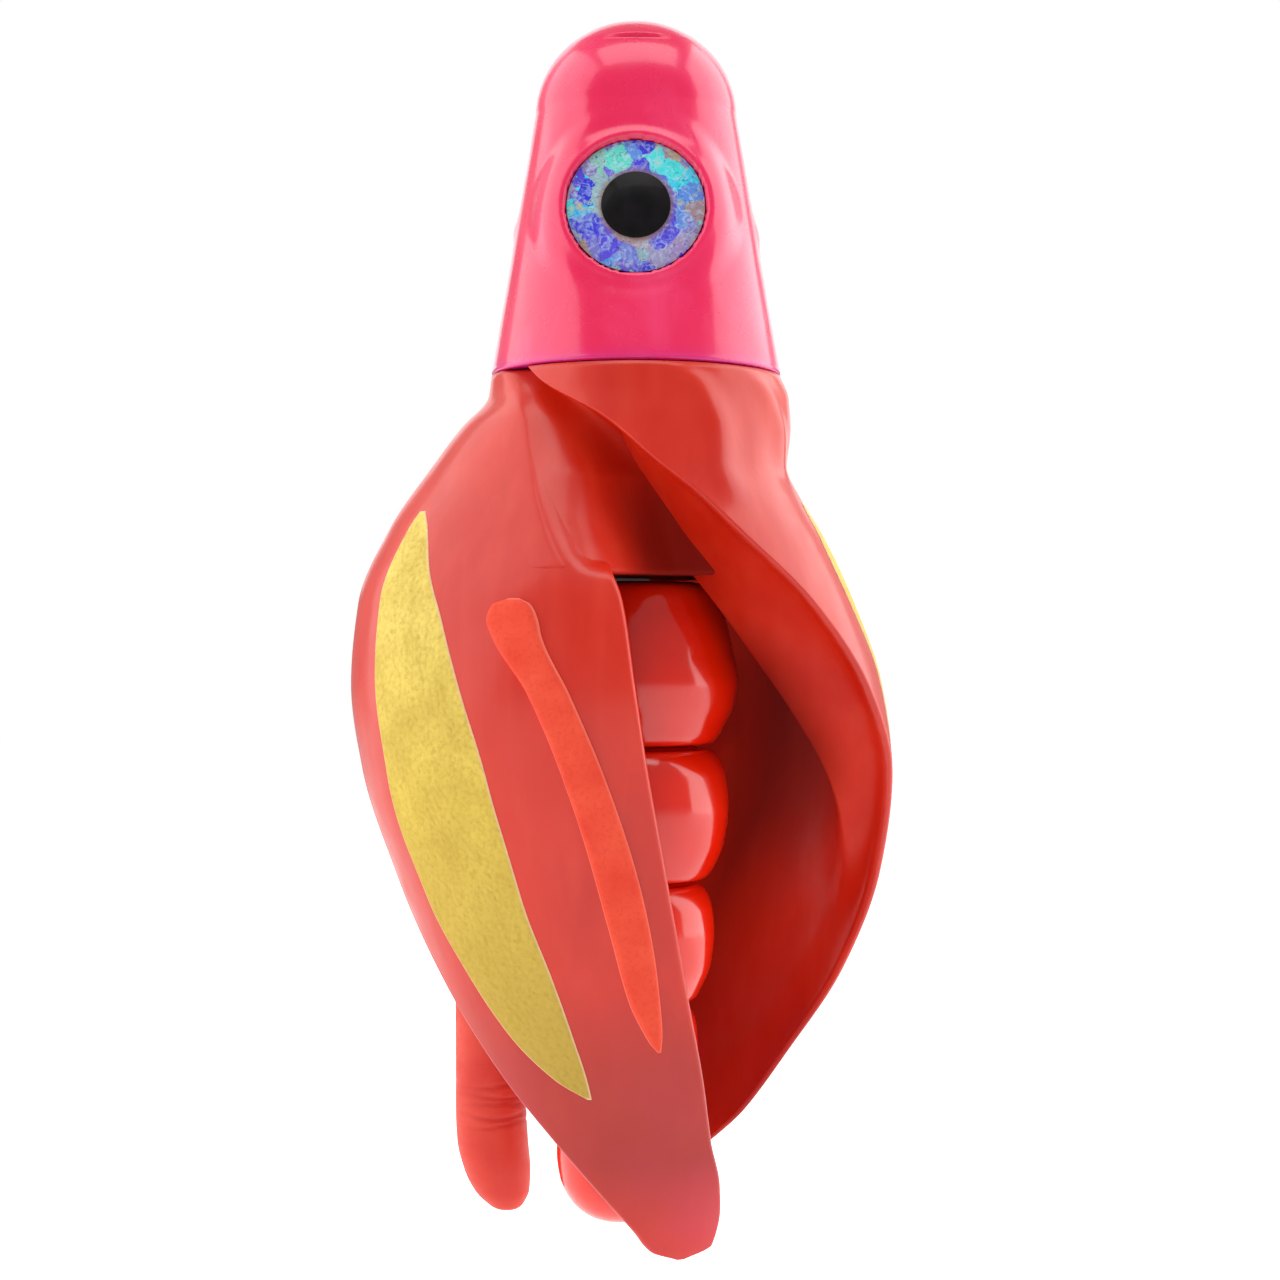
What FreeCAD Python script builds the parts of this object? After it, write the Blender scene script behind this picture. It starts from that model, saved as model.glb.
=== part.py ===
"""Hand toy: a pink eyed head on a swivel, two twisted red shell wings, a beaded tail and one leg.

Millimetres, +Z up along the long axis. The origin is on that axis, on the plane where the
head's rim meets the neck. The toy hangs below its head, and its front faces -Y.
"""
import FreeCAD
import Part
import math
import os

from FreeCAD import Placement, Rotation, Vector

os.makedirs("parts", exist_ok=True)

# Head
RIM_R = 14.4            # radius where the head meets the neck
HEAD_H = 35.2
HEAD_TAPER = 9.6        # degrees, of the head's side
DOME_H = 9.3            # height of the rounded crown
HEAD_WALL = 2.0
FACE_FLAT = 1.0         # how much the front and back are flattened
EYE_R = 6.6
EYE_Z = 15.3
EYE_LIP = 0.9           # width of the lip round each eye
EYE_SINK = 1.5          # how far the eye's disc lies under the round surface
IRIS_T = 1.0
PUPIL_R = 3.2
PUPIL_RISE = 0.7
PLUG_T = 4.0
PLUG_PLAY = 0.03

# Swivel
SWIVEL_GAP = 0.15
SPINDLE_R = 2.6
RUNNING = 0.05          # radial clearance of every turning fit
SPINDLE_LOW = -8.0
SPINDLE_TOP = 5.0
SCREW_LOW = -2.0
SCREW_R = 1.2
SCREW_HEAD_R = 2.3
SCREW_HEAD_T = 1.6
WASHER_R = 4.4
WASHER_T = 0.8

# Neck core, which carries the wings, the tail and the leg
CORE_TOP_R = 10.9
CORE_LOW_R = 9.6
CORE_LOW_Z = -20.0
FLANGE_R = 12.6
FLANGE_Z = -3.2

# Wings: z, half width, half depth, angle of the leading edge, angle of the trailing edge.
# Angles are in degrees from the front (-Y) towards +X, on the ellipse of that height.
WING_WALL = 2.0
WING_TOP = -SWIVEL_GAP
LEFT_WING = [
    (-0.15, 14.4, 14.4, -225, -52),
    (-2.2, 14.7, 14.4, -211, -42),
    (-5.2, 17.4, 14.7, -193, -27),
    (-9.2, 20.4, 15.8, -173, -19),
    (-15.2, 24.5, 18.4, -145, -11),
    (-22.6, 27.6, 21.2, -124, -2.5),
    (-30.5, 28.3, 22.0, -110, 0),
    (-38.9, 27.2, 21.0, -99, 2.7),
    (-50.0, 23.6, 18.5, -83, 8),
    (-59.7, 20.0, 16.0, -68, 14.6),
    (-67.6, 17.0, 14.3, -51, 22.5),
    (-73.7, 14.7, 13.0, -33, 30),
    (-78.5, 12.9, 12.2, -16.5, 40),
    (-82.2, 11.7, 11.5, -1.5, 44.5),
    (-84.8, 11.0, 11.0, 12, 37),
]
RIGHT_WING = [
    (-0.15, 14.4, 14.4, -47, 131),
    (-2.2, 15.2, 14.5, -34, 142),
    (-5.2, 15.4, 15.2, -13, 154),
    (-9.2, 15.0, 16.3, 5, 161),
    (-12.6, 16.6, 17.2, 20, 166),
    (-16.5, 18.8, 18.4, 32, 171),
    (-22.6, 21.6, 20.0, 50, 177.5),
    (-30.5, 24.3, 21.6, 66, 180),
    (-39.5, 25.5, 22.0, 83, 183),
    (-50.0, 24.9, 20.0, 97, 188),
    (-60.0, 22.6, 17.4, 109, 194),
    (-68.5, 19.6, 15.0, 124, 199),
    (-75.0, 16.4, 13.2, 135, 201),
    (-79.0, 14.4, 12.2, 149, 197),
    (-81.6, 13.2, 11.6, 163, 186),
]
ACROSS = 12             # spans across a wing's face
WING_STATIONS = 26      # sections down a wing
TRIM_ACROSS = 4
TRIM_STATIONS = 14

# Trim on the wings: z, one edge angle, other edge angle
LEFT_INLAY = [
    (-14.0, -60, -57),
    (-18.6, -62, -47.5),
    (-24.3, -61.6, -40),
    (-36.8, -60, -31),
    (-43.5, -60.5, -28.5),
    (-51.2, -58, -26),
    (-57.4, -51, -22),
    (-63.5, -40, -18),
    (-69.0, -17, -14.5),
]
RIGHT_INLAY = [
    (-12.8, 76, 79),
    (-18.6, 73, 88),
    (-24.3, 76, 97),
    (-36.8, 90, 118),
    (-51.2, 113, 143),
    (-57.4, 124, 151),
    (-63.5, 140, 159),
    (-68.0, 159, 163),
]
LEFT_STRIP = [
    (-22.8, -26, -22),
    (-25.3, -28, -18),
    (-31.2, -20, -12),
    (-40.7, -12.7, -4.3),
    (-52.7, -6.3, 3.3),
    (-59.5, -2, 6.4),
    (-64.3, 5.5, 7.6),
]
RIGHT_STRIP = [(z, low + 180, high + 180) for z, low, high in LEFT_STRIP]
INLAY_SINK = 0.6
INLAY_RISE = 0.1
STRIP_SINK = 0.5
STRIP_RISE = 0.7

# Tail beads: top z, bottom z, largest radius, radius at the foot
BEADS = [
    (-20.6, -36.5, 10.2, 7.9),
    (-37.0, -49.9, 9.2, 6.7),
    (-50.4, -61.9, 8.0, 5.8),
    (-62.4, -72.2, 6.9, 5.2),
    (-72.7, -84.0, 6.4, 3.0),
]
BEAD_LEAN = (0, 0, -0.2, -0.7, -1.6)    # x of each bead: the tail leans a little to the left
PIN_R = 0.9
TAIL_PIN_LENGTH = 7.0
LEG_PIN_LENGTH = 6.0
PIN_RISE = 3.4          # height of each pivot above the bead that hangs on it
TONGUE_T = 3.0
TONGUE_W = 2.4          # half width of a tongue
SLOT_GAP = 0.25

# Leg
LEG_X = -15.0
LEG_Y = 10.0
LEG_R = 3.9
LEG_TOP = -27.0
LEG_FOOT = -85.7
HIP_Z = -30.5
HIP_T = 2.4
HIP_R = 2.7


def smooth(table, z, column):
    """The table's value at height z, on a curve through its rows with no overshoot."""
    rows = table if table[0][0] < table[-1][0] else table[::-1]
    z = min(max(z, rows[0][0]), rows[-1][0])
    heights = [row[0] for row in rows]
    values = [row[column] for row in rows]
    steps = [(values[k + 1] - values[k]) / (heights[k + 1] - heights[k]) for k in range(len(rows) - 1)]
    slopes = [steps[0]] + [
        0 if low * high <= 0 else 2 * low * high / (low + high) for low, high in zip(steps, steps[1:])
    ] + [steps[-1]]
    k = max(index for index in range(len(rows) - 1) if heights[index] <= z)
    span = heights[k + 1] - heights[k]
    t = (z - heights[k]) / span
    start = values[k] * (1 + 2 * t) * (1 - t) ** 2 + slopes[k] * span * t * (1 - t) ** 2
    end = values[k + 1] * t * t * (3 - 2 * t) + slopes[k + 1] * span * t * t * (t - 1)
    return start + end


def wing_point(wing, z, angle, offset):
    """A point of the wing's outer face, moved outwards by offset."""
    turn = math.radians(angle)
    wide = smooth(wing, z, 1) + offset
    deep = smooth(wing, z, 2) + offset
    return Vector(wide * math.sin(turn), -deep * math.cos(turn), z)


def layer(wing, edges, heights, inner, outer, across):
    """A solid between two offsets of a wing's face, between the two edge angles of a table."""
    sections = []
    for z in heights:
        first, last = edges(z)
        turns = [first + (last - first) * k / across for k in range(across + 1)]
        outside = [wing_point(wing, z, turn, outer) for turn in turns]
        inside = [wing_point(wing, z, turn, inner) for turn in reversed(turns)]
        sides = []
        for points in (outside, inside):
            curve = Part.BSplineCurve()
            curve.interpolate(points)
            sides.append(curve.toShape())
        lead = Part.makeLine(outside[-1], inside[0])
        trail = Part.makeLine(inside[-1], outside[0])
        sections.append(Part.Wire([sides[0], lead, sides[1], trail]))
    solid = Part.makeLoft(sections, True, False)
    if solid.Volume < 0:
        solid.reverse()
    return solid


def spread(first, last, count):
    return [first + (last - first) * k / (count - 1) for k in range(count)]


def wing_shell(wing):
    heights = spread(wing[0][0], wing[-1][0], WING_STATIONS)

    def edges(z):
        return smooth(wing, z, 3), smooth(wing, z, 4)

    return layer(wing, edges, heights, -WING_WALL, 0, ACROSS)


def trim(wing, table, sink, rise):
    heights = spread(table[0][0], table[-1][0], TRIM_STATIONS)

    def edges(z):
        return smooth(table, z, 1), smooth(table, z, 2)

    return layer(wing, edges, heights, -sink, rise, TRIM_ACROSS)


def spun(edges):
    """The solid of revolution about Z of a closed outline."""
    return Part.Face(Part.Wire(edges)).revolve(Vector(0, 0, 0), Vector(0, 0, 1), 360)


def turned(points):
    """A solid of revolution about Z from (radius, z) points."""
    return spun(Part.makePolygon([Vector(r, 0, z) for r, z in points + points[:1]]).Edges)


def rod(radius, low, high, x=0, y=0):
    return Part.makeCylinder(radius, high - low, Vector(x, y, low))


def head_profile(inset):
    """The head's revolved body, inset from its outer surface."""
    cone_top = HEAD_H - DOME_H
    slope = math.tan(math.radians(HEAD_TAPER))
    low_r = RIM_R - inset
    top_r = RIM_R - cone_top * slope - inset
    crown = DOME_H - inset
    foot = Vector(low_r, 0, 0)
    edges = [
        Part.makeLine(Vector(0, 0, 0), foot),
        Part.makeLine(foot, Vector(top_r, 0, cone_top)),
        quarter(top_r, cone_top, cone_top + crown),
        Part.makeLine(Vector(0, 0, cone_top + crown), Vector(0, 0, 0)),
    ]
    return spun(edges)


def on_face(shape, side):
    """Puts a shape made along +Z about the origin onto the head's face, looking out of it."""
    slope = math.tan(math.radians(HEAD_TAPER))
    radius = RIM_R - EYE_Z * slope
    lean = Rotation(Vector(1, 0, 0), 90 - HEAD_TAPER)
    placed = shape.copy()
    placed.Placement = Placement(Vector(0, -radius, EYE_Z), lean)
    if side < 0:
        placed.rotate(Vector(0, 0, 0), Vector(0, 0, 1), 180)
    return placed


def head_shell():
    body = head_profile(0)
    hollow = head_profile(HEAD_WALL)
    block = Part.makeBox(40, 60, 8, Vector(-20, -30, -FACE_FLAT))
    socket = rod(EYE_R + EYE_LIP, -4.6, -EYE_SINK + IRIS_T * 0.5)
    pocket = rod(EYE_R + RUNNING, -EYE_SINK - IRIS_T, 6)
    for side in (1, -1):
        body = body.cut(on_face(block, side))
    body = body.cut(hollow)
    for side in (1, -1):
        body = body.fuse(on_face(socket, side)).cut(on_face(pocket, side))
    return body.removeSplitter()


def iris():
    low = -EYE_SINK - IRIS_T
    return rod(EYE_R, low, low + IRIS_T)


def pupil():
    ball_r = (PUPIL_R ** 2 + PUPIL_RISE ** 2) / (2 * PUPIL_RISE)
    ball = Part.makeSphere(ball_r, Vector(0, 0, -EYE_SINK + PUPIL_RISE - ball_r))
    return ball.common(rod(PUPIL_R, -EYE_SINK, 2))


def head_plug():
    wall = math.tan(math.radians(HEAD_TAPER))
    low_r = RIM_R - HEAD_WALL - PLUG_PLAY
    plug = turned([(0, 0), (low_r, 0), (low_r - PLUG_T * wall, PLUG_T), (0, PLUG_T)])
    return plug.cut(rod(SPINDLE_R + RUNNING, -1, PLUG_T + 1))


def spindle():
    shaft = rod(SPINDLE_R, SPINDLE_LOW, SPINDLE_TOP)
    return shaft.cut(rod(SCREW_R, SCREW_LOW, SPINDLE_TOP + 1))


def washer():
    ring = rod(WASHER_R, SPINDLE_TOP, SPINDLE_TOP + WASHER_T)
    return ring.cut(rod(SCREW_R, SPINDLE_TOP - 1, SPINDLE_TOP + 2))


def spindle_screw():
    low = SPINDLE_TOP + WASHER_T
    high = low + SCREW_HEAD_T
    shank = rod(SCREW_R, SCREW_LOW, low)
    head = rod(SCREW_HEAD_R, low, high)
    slot = Part.makeBox(3 * SCREW_HEAD_R, 0.5, 0.7, Vector(-1.5 * SCREW_HEAD_R, -0.25, high - 0.7))
    return shank.fuse(head).cut(slot)


def pin_along_y(radius, length, x, z):
    return Part.makeCylinder(radius, length, Vector(x, -length / 2, z), Vector(0, 1, 0))


def tongue_slot(z, x):
    """The room in the piece above for a tongue that swings about a pin along Y."""
    wide = TONGUE_W + SLOT_GAP + 0.35
    thick = TONGUE_T + 2 * SLOT_GAP
    drop = PIN_RISE + 1.5
    box = Part.makeBox(2 * wide, thick, drop, Vector(x - wide, -thick / 2, z - drop))
    crown = Part.makeCylinder(wide, thick, Vector(x, -thick / 2, z), Vector(0, 1, 0))
    return box.fuse(crown)


def tongue(z, x, foot):
    """A bead's own tongue, pierced for its pin."""
    body = Part.makeBox(2 * TONGUE_W, TONGUE_T, z - foot, Vector(x - TONGUE_W, -TONGUE_T / 2, foot))
    crown = Part.makeCylinder(TONGUE_W, TONGUE_T, Vector(x, -TONGUE_T / 2, z), Vector(0, 1, 0))
    return body.fuse(crown).cut(pin_along_y(PIN_R + RUNNING, 20, x, z))


def quarter(radius, high, low):
    """The edge of a rounded end: a quarter of an ellipse from (radius, high) to (0, low)."""
    curve = Part.BSplineCurve()
    steps = [math.radians(90 * k / 8) for k in range(9)]
    curve.interpolate([
        Vector(radius * math.cos(t), 0, high + (low - high) * math.sin(t)) for t in steps
    ])
    return curve.toShape()


def bead_body(index):
    top, bottom, big, foot = BEADS[index]
    tall = top - bottom
    shoulder = big * 0.78
    last = index == len(BEADS) - 1
    points = [(shoulder, 0), (big * 0.93, 0.1), (big, 0.42 if last else 0.5)]
    if not last:
        points += [(big * 0.95, 0.8), (foot, 1)]
    profile = Part.BSplineCurve()
    profile.interpolate([Vector(r, 0, top - t * tall) for r, t in points])
    edges = [Part.makeLine(Vector(0, 0, top), Vector(shoulder, 0, top)), profile.toShape()]
    if last:
        edges.append(quarter(big, top - points[-1][1] * tall, bottom))
    else:
        edges.append(Part.makeLine(Vector(foot, 0, bottom), Vector(0, 0, bottom)))
    edges.append(Part.makeLine(Vector(0, 0, bottom), Vector(0, 0, top)))
    body = spun(edges)
    body.translate(Vector(BEAD_LEAN[index], 0, 0))
    return body


def pivot(index):
    """Where bead number index turns: its x and z."""
    return BEAD_LEAN[max(index - 1, 0)], BEADS[index][0] + PIN_RISE


def bead(index):
    x, z = pivot(index)
    body = bead_body(index).fuse(tongue(z, x, BEADS[index][0] - 1.0))
    if index + 1 < len(BEADS):
        next_x, next_z = pivot(index + 1)
        hole = pin_along_y(PIN_R, TAIL_PIN_LENGTH + 1, next_x, next_z)
        body = body.cut(tongue_slot(next_z, next_x)).cut(hole)
    return body.removeSplitter()


def leg_frame(shape):
    """Turns a shape made with its swing towards +X so that it swings away from the axis."""
    placed = shape.copy()
    heading = math.degrees(math.atan2(LEG_Y, LEG_X))
    placed.Placement = Placement(Vector(LEG_X, LEG_Y, 0), Rotation(Vector(0, 0, 1), heading))
    return placed


def leg():
    tip = LEG_FOOT + LEG_R * 1.25
    outline = Part.BSplineCurve()
    outline.interpolate([
        Vector(3.0, 0, LEG_TOP),
        Vector(LEG_R * 0.97, 0, LEG_TOP - 4),
        Vector(LEG_R * 0.93, 0, LEG_TOP - 20),
        Vector(LEG_R, 0, LEG_TOP - 30),
        Vector(LEG_R * 0.94, 0, LEG_TOP - 42),
        Vector(LEG_R * 0.97, 0, tip),
    ])
    edges = [
        Part.makeLine(Vector(0, 0, LEG_TOP), Vector(3.0, 0, LEG_TOP)),
        outline.toShape(),
        quarter(LEG_R * 0.97, tip, LEG_FOOT),
        Part.makeLine(Vector(0, 0, LEG_FOOT), Vector(0, 0, LEG_TOP)),
    ]
    body = spun(edges)
    slot_t = HIP_T + 2 * SLOT_GAP
    slot = Part.makeBox(12, slot_t, 10, Vector(-6, -slot_t / 2, HIP_Z - HIP_R - 0.6))
    return leg_frame(body.cut(slot).cut(pin_along_y(PIN_R, 12, 0, HIP_Z)))


def hip_bracket():
    """The plate on the core that the leg hangs from, in the leg's own frame."""
    reach = math.hypot(LEG_X, LEG_Y)
    inner = -reach + CORE_LOW_R - 1.2
    corners = [(inner, -18.8), (inner, -9.0), (inner + 3.0, -9.0), (HIP_R * 0.9, HIP_Z + 1.2)]
    corners += [(-HIP_R * 0.9, HIP_Z - 1.0), (-HIP_R, HIP_Z + 3.0)]
    wire = Part.makePolygon([Vector(x, -HIP_T / 2, z) for x, z in corners + corners[:1]])
    plate = Part.Face(wire).extrude(Vector(0, HIP_T, 0))
    eye = Part.makeCylinder(HIP_R, HIP_T, Vector(0, -HIP_T / 2, HIP_Z), Vector(0, 1, 0))
    return leg_frame(plate.fuse(eye).cut(pin_along_y(PIN_R + RUNNING, 12, 0, HIP_Z)))


def leg_pin():
    return leg_frame(pin_along_y(PIN_R, LEG_PIN_LENGTH, 0, HIP_Z))


def neck_core():
    core = turned([
        (0, -SWIVEL_GAP), (FLANGE_R - 0.1, -SWIVEL_GAP), (FLANGE_R, FLANGE_Z),
        (CORE_TOP_R, FLANGE_Z - 2.0), (CORE_LOW_R, CORE_LOW_Z), (0, CORE_LOW_Z),
    ])
    x, z = pivot(0)
    core = core.cut(rod(SPINDLE_R, SPINDLE_LOW, 1))
    return core.cut(tongue_slot(z, x)).cut(pin_along_y(PIN_R, TAIL_PIN_LENGTH + 1, x, z))


def make_all():
    left = wing_shell(LEFT_WING)
    right = wing_shell(RIGHT_WING)
    bracket = hip_bracket()
    nodes = {
        "head_shell": head_shell(),
        "head_plug": head_plug(),
        "neck_spindle": spindle(),
        "spindle_washer": washer(),
        "spindle_screw": spindle_screw(),
        "hip_bracket": bracket,
        "leg": leg(),
        "leg_pin": leg_pin(),
    }
    for name, side in (("front", 1), ("rear", -1)):
        nodes[name + "_eye_iris"] = on_face(iris(), side)
        nodes[name + "_eye_pupil"] = on_face(pupil(), side)
    nodes["neck_core"] = neck_core().cut(bracket)
    trims = {
        "left_yellow_inlay": trim(LEFT_WING, LEFT_INLAY, INLAY_SINK, INLAY_RISE),
        "left_red_strip": trim(LEFT_WING, LEFT_STRIP, STRIP_SINK, STRIP_RISE),
        "right_yellow_inlay": trim(RIGHT_WING, RIGHT_INLAY, INLAY_SINK, INLAY_RISE),
        "right_red_strip": trim(RIGHT_WING, RIGHT_STRIP, STRIP_SINK, STRIP_RISE),
    }
    nodes["left_wing"] = left.cut(trims["left_yellow_inlay"]).cut(trims["left_red_strip"])
    nodes["right_wing"] = right.cut(trims["right_yellow_inlay"]).cut(trims["right_red_strip"])
    nodes.update(trims)
    for index in range(len(BEADS)):
        x, z = pivot(index)
        nodes["tail_bead_%d" % (index + 1)] = bead(index)
        nodes["tail_pin_%d" % (index + 1)] = pin_along_y(PIN_R, TAIL_PIN_LENGTH, x, z)
    return nodes


for node, shape in make_all().items():
    print(node, shape.ShapeType, shape.isValid(), len(shape.Solids), round(shape.Volume, 1))
    shape.exportStep("parts/%s.step" % node)
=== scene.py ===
"""Looks of the creature hand toy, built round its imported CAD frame. Metres, +Z up, front facing -Y."""
import math

import bmesh
import bpy
import numpy as np
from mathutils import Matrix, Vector


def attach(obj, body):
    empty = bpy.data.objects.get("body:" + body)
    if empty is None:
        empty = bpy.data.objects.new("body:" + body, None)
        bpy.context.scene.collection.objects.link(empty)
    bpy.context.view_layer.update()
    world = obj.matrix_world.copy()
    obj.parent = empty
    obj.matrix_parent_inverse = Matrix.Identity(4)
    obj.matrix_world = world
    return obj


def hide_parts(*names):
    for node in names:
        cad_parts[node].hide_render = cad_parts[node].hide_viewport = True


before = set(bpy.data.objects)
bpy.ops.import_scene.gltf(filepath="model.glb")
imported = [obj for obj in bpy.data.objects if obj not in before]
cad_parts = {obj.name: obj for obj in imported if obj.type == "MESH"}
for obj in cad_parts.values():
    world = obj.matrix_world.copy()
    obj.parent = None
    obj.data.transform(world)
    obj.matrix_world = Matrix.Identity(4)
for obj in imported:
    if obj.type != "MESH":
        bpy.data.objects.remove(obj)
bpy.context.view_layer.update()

MM = 0.001              # metres in a millimetre
TAU = 2 * math.pi

# ---------------------------------------------------------------- sizes, in millimetres

RIM_R = 14.4            # radius where the head meets the neck
HEAD_H = 35.2
DOME_H = 9.3            # height of the rounded crown
TAPER = math.radians(9.6)
EYE_R = 6.6
EYE_Z = 15.3
EYE_SINK = 1.5          # how far the eye's disc lies under the face
PUPIL_R = 3.3

# Wings: z, half width, half depth, leading edge angle, trailing edge angle.
# Angles are in degrees from the front (-Y) towards +X, on the ellipse of that height.
LEFT_WING = [
    (-0.15, 14.4, 14.4, -225, -51),
    (-2.2, 14.7, 14.4, -211, -40),
    (-5.2, 17.4, 14.7, -193, -27),
    (-9.2, 20.4, 15.8, -173, -19),
    (-15.2, 24.5, 18.4, -145, -11),
    (-22.6, 27.6, 21.2, -124, -2.5),
    (-30.5, 28.3, 22.0, -110, 0),
    (-38.9, 27.2, 21.0, -99, 2.7),
    (-50.0, 23.6, 18.5, -83, 8),
    (-59.7, 20.0, 16.0, -68, 14.6),
    (-67.6, 17.0, 14.3, -51, 22.5),
    (-73.7, 14.7, 13.0, -33, 30),
    (-78.5, 12.9, 12.2, -16.5, 40),
    (-82.2, 11.7, 11.5, -1.5, 44.5),
    (-84.3, 11.1, 11.1, 7.5, 43),
    (-85.2, 10.8, 10.8, 21, 26),
]
RIGHT_WING = [
    (-0.15, 14.4, 14.4, -47, 131),
    (-2.2, 15.2, 14.5, -34, 142),
    (-5.2, 15.4, 15.2, -13, 154),
    (-9.2, 15.0, 16.3, 5, 161),
    (-12.6, 16.6, 17.2, 20, 166),
    (-16.5, 18.8, 18.4, 32, 171),
    (-22.6, 21.6, 20.0, 50, 177.5),
    (-30.5, 24.3, 21.6, 66, 180),
    (-39.5, 25.5, 22.0, 83, 183),
    (-50.0, 24.9, 20.0, 97, 188),
    (-60.0, 22.6, 17.4, 109, 194),
    (-68.5, 19.6, 15.0, 124, 199),
    (-75.0, 16.4, 13.2, 135, 201),
    (-79.0, 14.4, 12.2, 149, 197),
    (-81.3, 13.3, 11.6, 160, 188),
    (-82.0, 13.0, 11.4, 173, 175),
]
# Trim on the wings: z, one edge angle, other edge angle
LEFT_INLAY = [
    (-13.9, -60, -57.5),
    (-15.5, -61.5, -53),
    (-18.6, -62, -47.5),
    (-24.3, -61.6, -40),
    (-36.8, -60, -31),
    (-43.5, -60.5, -28.5),
    (-51.2, -58, -26),
    (-57.4, -51, -22),
    (-63.5, -40, -18),
    (-67.6, -26, -15.2),
    (-69.2, -16, -14.5),
]
RIGHT_INLAY = [
    (-12.8, 76, 79),
    (-18.6, 73, 88),
    (-24.3, 76, 97),
    (-36.8, 90, 118),
    (-51.2, 113, 143),
    (-57.4, 124, 151),
    (-63.5, 140, 159),
    (-68.0, 159, 163),
]
LEFT_STRIP = [
    (-22.4, -24.5, -22.5),
    (-23.0, -28, -20),
    (-24.3, -29, -18.5),
    (-26.0, -27.5, -17.5),
    (-31.2, -20, -12),
    (-40.7, -12.7, -4.3),
    (-52.7, -6.3, 3.3),
    (-59.5, -2, 6.4),
    (-63.4, 3.5, 7.6),
    (-64.5, 6.3, 7.4),
]
RIGHT_STRIP = [(z, low + 180, high + 180) for z, low, high in LEFT_STRIP]

# Tail beads: the x of each axis, and the radius and z of each outline
BEADS = [
    (0, [(0, -20.45), (5.8, -20.45), (6.3, -20.6), (7.2, -20.62), (8.0, -21.0), (8.7, -23.0), (9.7, -27.2),
         (10.2, -30.2), (9.9, -32.2), (8.9, -34.6), (7.9, -36.2), (7.3, -36.5), (0, -36.5)]),
    (0, [(0, -36.72), (5.8, -36.72), (6.3, -37.0), (7.2, -37.02), (8.0, -37.6), (8.9, -39.6), (9.2, -42.6),
         (8.8, -46.0), (7.7, -48.8), (6.9, -49.8), (6.4, -49.9), (0, -49.9)]),
    (-0.2, [(0, -50.12), (5.2, -50.12), (5.7, -50.4), (6.3, -50.42), (7.0, -50.9), (7.8, -52.8),
            (8.0, -55.2), (7.7, -58.2), (6.7, -60.8), (6.1, -61.75), (5.6, -61.9), (0, -61.9)]),
    (-0.7, [(0, -62.12), (4.5, -62.12), (5.0, -62.4), (5.5, -62.42), (6.1, -62.9), (6.75, -64.6),
            (6.9, -66.8), (6.6, -69.4), (5.8, -71.4), (5.3, -72.1), (4.8, -72.2), (0, -72.2)]),
    (-1.6, [(0, -72.42), (4.0, -72.42), (4.5, -72.7), (5.0, -72.72), (5.6, -73.2), (6.25, -74.8),
            (6.4, -77.2), (6.1, -79.6), (5.0, -81.9), (3.2, -83.4), (1.4, -83.95), (0, -84.0)]),
]

LEG_Y = 10.0            # how far the leg's axis lies behind the toy's
# Leg: z, left extent, right extent
LEG = [
    (-27.0, -16.6, -13.4), (-27.5, -17.5, -12.5), (-29.5, -18.6, -11.3), (-36, -18.8, -11.2),
    (-50, -18.5, -11.6), (-62, -18.9, -11.1), (-70, -18.85, -11.4), (-75.1, -18.85, -11.45),
    (-78.3, -18.7, -11.3), (-81.4, -17.95, -11.05), (-83.6, -16.85, -11.15), (-84.9, -15.6, -11.7),
    (-85.5, -14.7, -12.3), (-85.7, -13.6, -13.2),
]

# ---------------------------------------------------------------- small helpers


def smooth(table, z, column):
    """The table's column at heights z, on a curve through its rows with no overshoot."""
    rows = np.array(sorted(table), float)
    x, y = rows[:, 0], rows[:, column]
    z = np.clip(np.asarray(z, float), x[0], x[-1])
    steps = np.diff(y) / np.diff(x)
    same = steps[:-1] * steps[1:] > 0
    total = np.where(same, steps[:-1] + steps[1:], 1)
    inner = np.where(same, 2 * steps[:-1] * steps[1:] / total, 0)
    slopes = np.concatenate([steps[:1], inner, steps[-1:]])
    k = np.clip(np.searchsorted(x, z, side="right") - 1, 0, len(x) - 2)
    span = x[k + 1] - x[k]
    t = (z - x[k]) / span
    start = y[k] * (1 + 2 * t) * (1 - t) ** 2 + slopes[k] * span * t * (1 - t) ** 2
    end = y[k + 1] * t * t * (3 - 2 * t) + slopes[k + 1] * span * t * t * (t - 1)
    return start + end


def ease(value, low, high):
    """0 below low, 1 above high, and a soft step between them."""
    t = np.clip((value - low) / (high - low), 0, 1)
    return t * t * (3 - 2 * t)


def bunched(share):
    """Moves shares from 0 to 1 towards both ends."""
    return 0.5 - 0.5 * np.cos(np.pi * share)


def spread(count):
    """count numbers from 0 to 1, closer together at both ends."""
    return bunched(np.linspace(0, 1, count))


def corner_drop(share):
    """How far a corner of radius 1 lies below its face, at a share of the radius from its edge."""
    return 1 - np.sqrt(np.clip(1 - (1 - np.clip(share, 0, 1)) ** 2, 0, 1))


def along(face):
    """Distance along each row of points, from its first."""
    steps = np.linalg.norm(np.diff(face, axis=1), axis=2)
    return np.concatenate([np.zeros((len(face), 1)), np.cumsum(steps, 1)], 1)


def there_and_back(front, back):
    """Rows that run along the front and return along the back."""
    return np.concatenate([front, back[:, ::-1]], 1)


def ring_faces(rows, columns):
    """Quads over a grid of rows by columns, joined round the columns."""
    faces = []
    for row in range(rows - 1):
        low, high = row * columns, (row + 1) * columns
        for column in range(columns):
            after = (column + 1) % columns
            faces.append((low + column, low + after, high + after, high + column))
    return faces


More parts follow.
